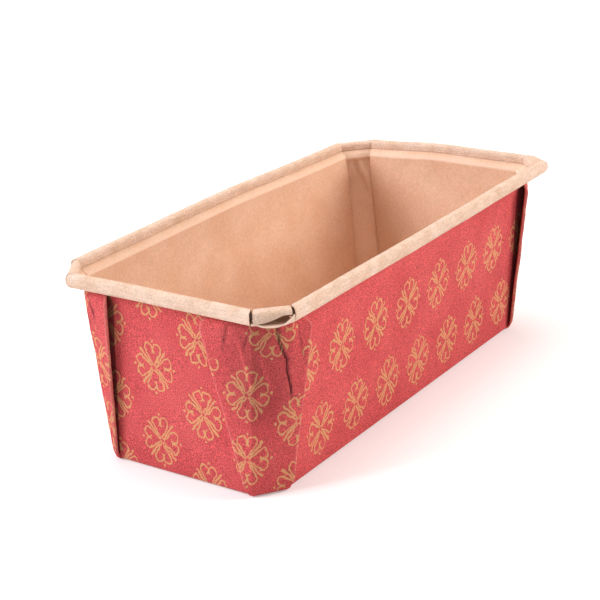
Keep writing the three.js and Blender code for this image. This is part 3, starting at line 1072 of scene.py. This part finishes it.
def petal_print():
    """Node group that draws four-petalled flowers in line, in a staggered lattice.

    It takes a place on the print in millimetres, the lattice's pitch and its start, and
    gives the strength of the ink.
    """
    group = bpy.data.node_groups.new("petal_print", "ShaderNodeTree")
    for name in ("Place", "Pitch", "Start"):
        group.interface.new_socket(name, in_out="INPUT", socket_type="NodeSocketVector")
    group.interface.new_socket("Ink", in_out="OUTPUT", socket_type="NodeSocketFloat")
    given = add(group, "NodeGroupInput").outputs
    spot_in, pitch, start = given["Place"], given["Pitch"], given["Start"]

    # The hand-drawn wobble of the lines, a few tenths of a millimetre
    wobble = add(group, NOISE, {"Vector": spot_in, "Scale": WOBBLES_PER_MM, "Detail": 2})
    middle = (0.5, 0.5, 0.5)
    centred = add(group, VECTORS, [wobble.outputs["Color"], middle], operation="SUBTRACT")
    bend = add(group, VECTORS, {0: centred, "Scale": WOBBLE}, operation="SCALE")
    bent = add(group, VECTORS, [spot_in, bend], operation="ADD")
    place = add(group, VECTORS, [bent, start], operation="SUBTRACT")

    # The nearer flower of the lattice's two staggered grids
    half = add(group, VECTORS, {0: pitch, "Scale": 0.5}, operation="SCALE")
    minus = add(group, VECTORS, {0: pitch, "Scale": -0.5}, operation="SCALE")
    moved = add(group, VECTORS, [place, half], operation="ADD")
    even = add(group, VECTORS, [place, half, minus], operation="WRAP")
    odd = add(group, VECTORS, [moved, half, minus], operation="WRAP")
    even_far = add(group, VECTORS, [even], operation="LENGTH").outputs["Value"]
    odd_far = add(group, VECTORS, [odd], operation="LENGTH").outputs["Value"]
    is_odd = add(group, MATHS, [odd_far, even_far], operation="LESS_THAN")
    nearer = add(group, MIX, {0: is_odd, 4: even, 5: odd}, data_type="VECTOR")

    # One half petal stands for all eight: p runs out along a petal, q across it
    squat = add(group, VECTORS, [nearer.outputs[1], FLOWER_SQUASH], operation="MULTIPLY")
    folded = add(group, VECTORS, [squat], operation="ABSOLUTE")
    parts = add(group, "ShaderNodeSeparateXYZ", [folded]).outputs
    p = add(group, MATHS, [parts[0], parts[1]], operation="MAXIMUM")
    q = add(group, MATHS, [parts[0], parts[1]], operation="MINIMUM")
    spot = add(group, "ShaderNodeCombineXYZ", [p, q])
    nearest = arc_stroke(group, spot, LOBE_CENTRE, LOBE_RADIUS, LOBE_BACK)
    for stroke in (
        line_stroke(group, spot, FLANK_FROM, FLANK_TO),
        line_stroke(group, spot, STEM_FROM, STEM_TO),
        arc_stroke(group, spot, TIP_CENTRE, TIP_RADIUS, TIP_RADIUS),
    ):
        nearest = add(group, MATHS, [nearest, stroke], operation="MINIMUM")

    # Ink that takes unevenly on the rough paper
    grain = add(group, NOISE, {"Vector": spot_in, "Scale": INK_GRAINS_PER_MM, "Detail": 3})
    ragged = add(group, MATHS, [grain, INK_RAGGED, nearest], operation="MULTIPLY_ADD")
    edge = INK_HALF_WIDTH + INK_RAGGED / 2
    soft = ranged(ragged, edge + INK_SOFTNESS, edge - INK_SOFTNESS)
    ink = add(group, SPAN, soft, interpolation_type="SMOOTHSTEP")
    strength = add(group, SPAN, ranged(grain, *INK_FADE))
    shown = add(group, MATHS, [ink, strength], operation="MULTIPLY")
    add(group, "NodeGroupOutput", {"Ink": shown})
    return group


def arc_stroke(group, spot, centre, radius, back):
    """Distance from a circular line, kept only where it isn't far behind its centre."""
    away = add(group, VECTORS, [spot, (*centre, 0)], operation="SUBTRACT")
    reach = add(group, VECTORS, [away], operation="LENGTH").outputs["Value"]
    off = add(group, MATHS, [reach, radius], operation="SUBTRACT")
    line = add(group, MATHS, [off], operation="ABSOLUTE")
    x = add(group, "ShaderNodeSeparateXYZ", [away])
    behind = add(group, MATHS, [-back, x], operation="SUBTRACT")
    return add(group, MATHS, [line, behind], operation="MAXIMUM")


def line_stroke(group, spot, start, stop):
    """Distance from a straight line between two points."""
    run = Vector(stop) - Vector(start)
    way = run.normalized()
    middle = (*(Vector(start) + run / 2), 0)
    away = add(group, VECTORS, [spot, middle], operation="SUBTRACT")
    offs = []
    for ray in ((-way.y, way.x, 0), (way.x, way.y, 0)):
        part = add(group, VECTORS, [away, ray], operation="DOT_PRODUCT")
        offs.append(add(group, MATHS, [part.outputs["Value"]], operation="ABSOLUTE"))
    past = add(group, MATHS, [offs[1], run.length / 2], operation="SUBTRACT")
    return add(group, MATHS, [offs[0], past], operation="MAXIMUM")


def shade_and_wear_by_mark(tree, colour, tone):
    """Lays the sheet's marks over a colour: pale with rubbed wear and painted highlights, dark
    with painted shade.
    """
    mark = add(tree, "ShaderNodeAttribute", attribute_name="mark").outputs["Fac"]
    pale_share = add(tree, SPAN, ranged(mark, *PALE_RANGE))
    colours = {0: pale_share, 6: colour, 7: linear(tone)}
    pale = add(tree, MIX, colours, data_type="RGBA").outputs[2]
    dark = add(tree, SPAN, ranged(mark, *PAINTED_SHADE_RANGE))
    return add(tree, VECTORS, {0: pale, "Scale": dark}, operation="SCALE")


def kraft(name, dark, light, cloud_mm, grain_mm, grain_depth, relief, tone, cover=None):
    """Kraft paper: soft clouds of pulp, a fine speckle of fibres, and a matt surface.

    cover(tree, colour) lays a print or a pressing over the paper's own colour.
    """
    material = bpy.data.materials.new(name)
    material.use_nodes = True
    tree = material.node_tree
    shader = tree.nodes["Principled BSDF"]
    place = add(tree, "ShaderNodeTexCoord").outputs["Object"]
    clouds = add(tree, NOISE, {"Vector": place, "Scale": 1 / (cloud_mm * MM), "Detail": 3})
    even = add(tree, SPAN, ranged(clouds, *NOISE_RANGE))
    colours = {0: even, 6: linear(dark), 7: linear(light)}
    paper = add(tree, MIX, colours, data_type="RGBA").outputs[2]
    in_grain = {"Vector": place, "Scale": 1 / (grain_mm * MM), "Detail": 3, "Roughness": 0.65}
    grain = add(tree, NOISE, in_grain)
    speck = add(tree, SPAN, ranged(grain, *NOISE_RANGE, 1 - grain_depth, 1 + grain_depth))
    colour = add(tree, VECTORS, {0: paper, "Scale": speck}, operation="SCALE")
    if cover:
        colour = cover(tree, colour)
    bump = add(tree, "ShaderNodeBump", {"Height": grain, "Distance": relief * MM, "Strength": 1.0})
    with_marks = shade_and_wear_by_mark(tree, colour, tone)
    tree.links.new(out_of(with_marks), shader.inputs["Base Color"])
    tree.links.new(out_of(bump), shader.inputs["Normal"])
    shader.inputs["Roughness"].default_value = PAPER_ROUGHNESS
    shader.inputs["Specular IOR Level"].default_value = PAPER_SHINE
    return material


def painted_wrinkle_shade(tree, colour):
    """Painted shade of fine wrinkles that run along the rim, from its rolling under pressure."""
    place = add(tree, "ShaderNodeUVMap", uv_map="print")
    drawn_out = add(tree, VECTORS, [place, WRINKLES_PER_MM], operation="MULTIPLY")
    wrinkles = add(tree, NOISE, {"Vector": drawn_out, "Scale": 1.0, "Detail": 2})
    shade = add(tree, SPAN, ranged(wrinkles, *WRINKLE_RANGE))
    return add(tree, VECTORS, {0: colour, "Scale": shade}, operation="SCALE")


def printed(name, group, pitch, start):
    """Red printed kraft with gold flowers in line, mottled where the ink took unevenly."""

    def flowered(tree, colour):
        place = add(tree, "ShaderNodeUVMap", uv_map="print")
        inputs = {"Place": place, "Pitch": (*pitch, 1), "Start": (*start, 0)}
        drawn = add(tree, "ShaderNodeGroup", inputs, node_tree=group)
        colours = {0: drawn, 6: colour, 7: linear(INK_COLOUR)}
        return add(tree, MIX, colours, data_type="RGBA").outputs[2]

    return kraft(name, *RED_PAPER, flowered)


def build_stage():
    """A pale floor, brighter to the camera than the light that it throws back."""
    mesh = bpy.data.meshes.new("floor")
    corners = [(x * FLOOR_REACH, y * FLOOR_REACH, 0) for x, y in CORNERS]
    mesh.from_pydata(corners, [], [(0, 1, 2, 3)])
    floor = stand("floor", mesh)
    floor.location.z = -FLOOR_DROP
    material = bpy.data.materials.new("pale_floor")
    material.use_nodes = True
    tree = material.node_tree
    shader = tree.nodes["Principled BSDF"]
    seen = add(tree, "ShaderNodeLightPath").outputs["Is Camera Ray"]
    lift = add(tree, MATHS, [seen, FLOOR_LIFT], operation="MULTIPLY")
    tree.links.new(out_of(lift), shader.inputs["Emission Strength"])
    shader.inputs["Emission Color"].default_value = (1, 1, 1, 1)
    shader.inputs["Base Color"].default_value = linear(FLOOR_COLOUR)
    shader.inputs["Roughness"].default_value = FLOOR_ROUGHNESS
    mesh.materials.append(material)


def add_light(name, place, size, power, code):
    """A square soft box that looks at the mold."""
    light = bpy.data.lights.new(name, "AREA")
    light.size = size
    light.energy = power
    light.color = linear(code)[:3]
    lamp = stand(name, light)
    lamp.location = place
    lamp.rotation_euler = (LIGHT_AIM - Vector(place)).to_track_quat("-Z", "Y").to_euler()


def build_world():
    """White surroundings, weaker as a light than they look to the camera."""
    world = bpy.data.worlds.new("studio")
    world.use_nodes = True
    tree = world.node_tree
    tree.nodes.clear()
    seen = add(tree, "ShaderNodeLightPath").outputs["Is Camera Ray"]
    strength = add(tree, SPAN, ranged(seen, 0.0, 1.0, SURROUND_STRENGTH))
    white = {"Color": (1, 1, 1, 1), "Strength": strength}
    background = add(tree, "ShaderNodeBackground", white)
    add(tree, "ShaderNodeOutputWorld", {"Surface": background})
    bpy.context.scene.world = world


def build_camera():
    """The camera fitted to the photo."""
    camera = bpy.data.cameras.new("camera")
    camera.lens = LENS_MM
    camera.sensor_width = SENSOR_MM
    camera.clip_start = NEAREST
    holder = stand("camera", camera)
    level = Vector(LOOK).to_track_quat("-Z", "Y").to_matrix()
    rolled = level @ Matrix.Rotation(math.radians(ROLL_DEGREES), 3, "Z")
    holder.matrix_world = Matrix.Translation(EYE) @ rolled.to_4x4()
    bpy.context.scene.camera = holder


def main():
    sheet = SheetMesh()
    build_body(sheet)
    build_base(sheet)
    unrolled_rim(sheet, UNROLLED_STRETCH)
    flowers = petal_print()
    materials = [
        # Kraft printed red with gold flowers, mottled, pale along its folds with rubbed wear and
        # painted highlights, and darkened by painted shade in creases, mouths and slits
        printed("red_print_end", flowers, END_PITCH, END_START),
        printed("red_print_side", flowers, LONG_PITCH, LONG_START),
        printed("red_print_corner", flowers, CORNER_PITCH, CORNER_START),
        # Bare inner side of the sheet: pale brown, soft and even
        kraft("bare_kraft", *BARE_PAPER),
        # Bare kraft rolled under pressure into the rim: paler, with fibres and the painted shade
        # of fine wrinkles
        kraft("pressed_kraft", *PRESSED_PAPER, painted_wrinkle_shade),
        # Cut edge of the sheet: raw fibres, a little darker
        kraft("cut_kraft", *CUT_PAPER),
    ]
    for piece in (sheet.build("folded_sheet", materials), build_rim(materials)):
        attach(piece, "root")
        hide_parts("paper_mold")
    build_stage()
    build_world()
    build_camera()
    for light in LIGHTS:
        add_light(*light)
    bpy.context.scene.view_settings.view_transform = "Standard"


main()
